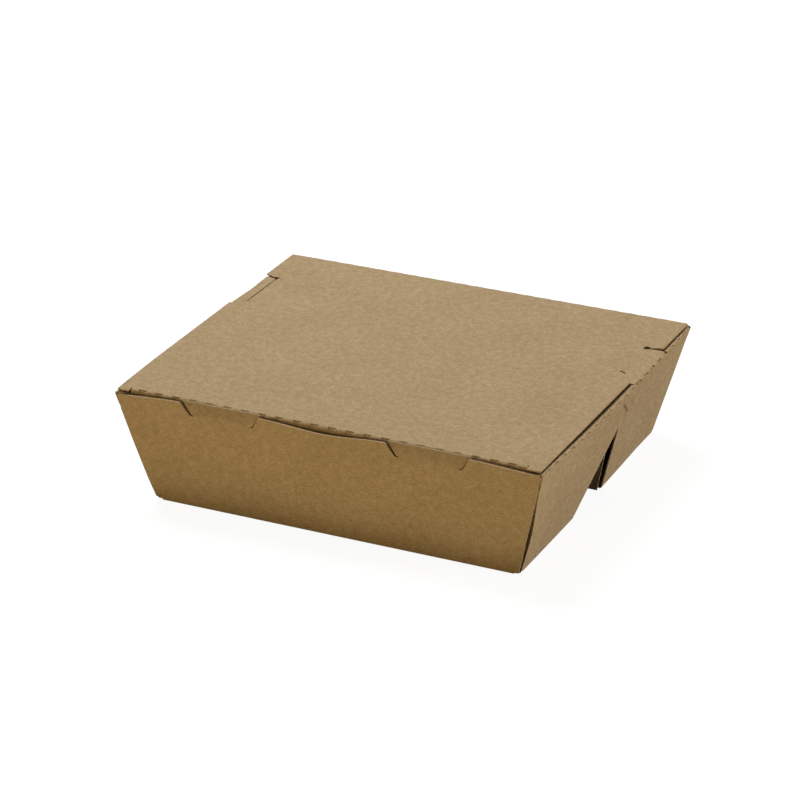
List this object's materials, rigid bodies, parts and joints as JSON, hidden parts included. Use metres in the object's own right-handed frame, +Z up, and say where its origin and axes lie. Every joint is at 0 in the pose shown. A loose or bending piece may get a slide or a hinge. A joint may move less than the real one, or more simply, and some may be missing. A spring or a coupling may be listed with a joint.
{
  "type": "takeaway box",
  "caption": "Shallow food box folded from kraft card, with flared walls, a raised ridge that parts its compartments, and a hinged lid with a tuck flap and lock tabs.",
  "frame": {"origin": "middle of the underside of the box, on the surface that it stands on", "axes": "+X to the right along the front panel, +Y from the front panel to the hinge side, +Z up"},
  "size_m": [0.196, 0.1662, 0.0511],
  "materials": {
    "kraft_card": "matte"
  },
  "bodies": {
    "tray": {"tray": "kraft_card"},
    "lid": {"lid": "kraft_card"}
  },
  "joints": [
    {"name": "lid_hinge", "type": "hinge", "parent": "tray", "child": "lid", "pos_m": [0, 0.08315, 0.0505], "axis": [-1, 0, 0], "range_deg": [0, 180]}
  ]
}
